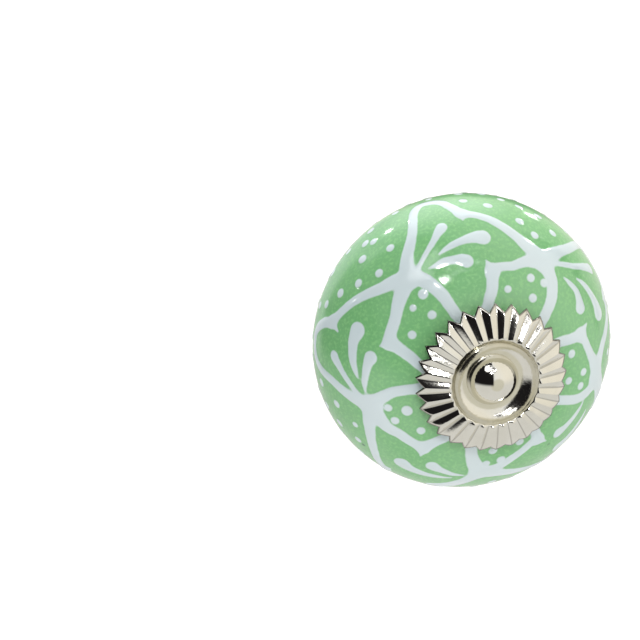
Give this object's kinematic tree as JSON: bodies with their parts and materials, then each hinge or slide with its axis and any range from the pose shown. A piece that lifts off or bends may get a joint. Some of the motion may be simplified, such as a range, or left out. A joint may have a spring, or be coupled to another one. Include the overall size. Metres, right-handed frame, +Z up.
{
  "type": "cabinet knob",
  "caption": "Round glazed ceramic cabinet knob with a raised slip pattern, a pleated metal rosette, a domed bolt through its middle and a metal cup behind.",
  "frame": {"origin": "centre of the ferrule's rear rim, where the knob meets the door, on the bolt's axis", "axes": "+Y along the bolt, into the door; the knob faces -Y; +Z up"},
  "size_m": [0.04, 0.0614, 0.04],
  "materials": {
    "glaze": "glossy green glaze with white raised slip",
    "pressed_metal": "bright nickel plate on pressed sheet",
    "turned_metal": "bright nickel plate on a turned bolt",
    "zinc_plate": "dull zinc plate"
  },
  "bodies": {
    "root": {"ceramic_body": "glaze", "front_rosette": "pressed_metal", "knob_bolt": "turned_metal", "rear_ferrule": "pressed_metal", "cup_washer": "zinc_plate", "cup_nut": "zinc_plate"}
  },
  "joints": []
}
